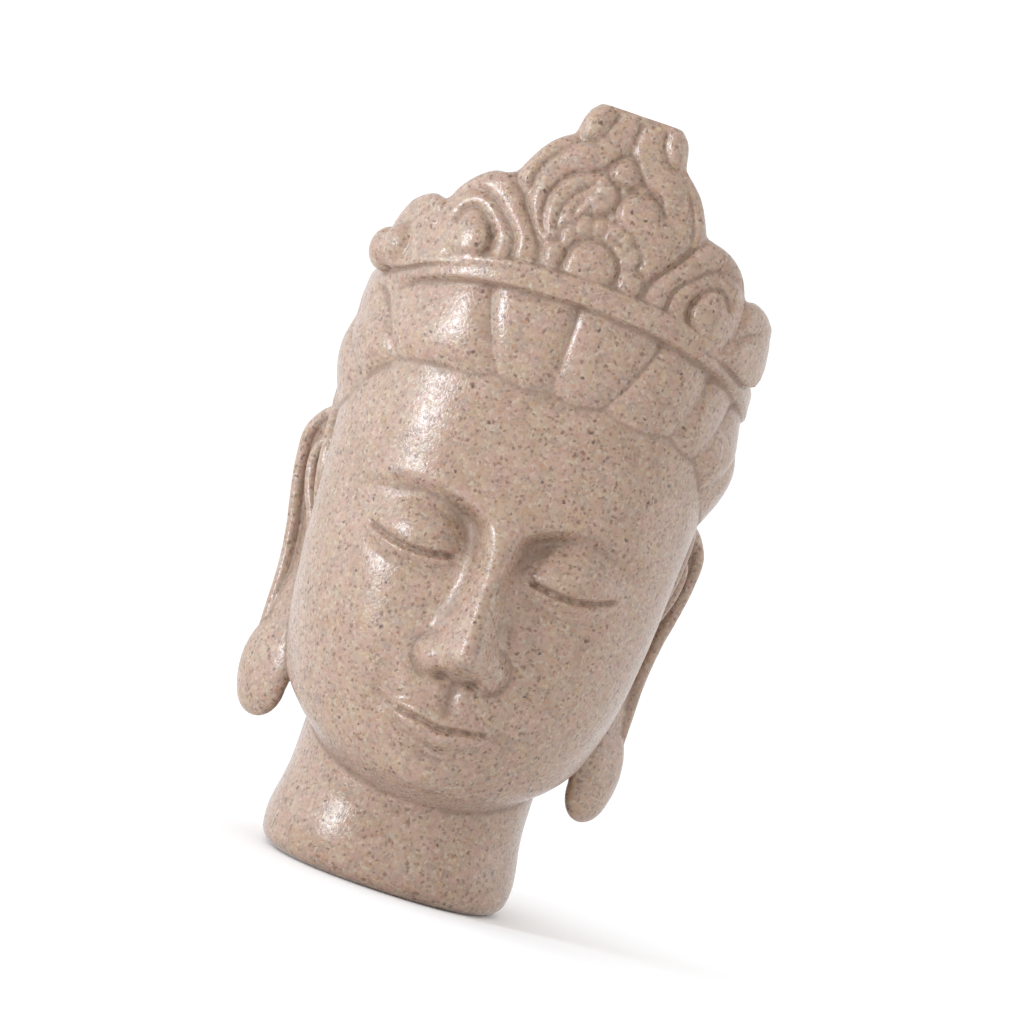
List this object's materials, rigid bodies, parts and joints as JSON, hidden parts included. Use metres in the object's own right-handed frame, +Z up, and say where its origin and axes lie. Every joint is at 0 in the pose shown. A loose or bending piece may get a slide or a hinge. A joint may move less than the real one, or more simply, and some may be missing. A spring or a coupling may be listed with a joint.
{
  "type": "resin buddha head",
  "caption": "Crowned buddha head ornament with long ears, cast in one piece in speckled sand-filled resin, cut flat under the neck.",
  "frame": {"origin": "middle of the flat underside of the neck", "axes": "+Z up through the crown, -Y the way the face looks, +X to the right as seen from the front"},
  "size_m": [0.0824, 0.0892, 0.15],
  "materials": {
    "sand_filled_resin": "clear gloss varnish over sand-filled polyester resin, pinkish beige with fine cream, orange and dark grains"
  },
  "bodies": {
    "root": {"buddha_head": "sand_filled_resin"}
  },
  "joints": []
}
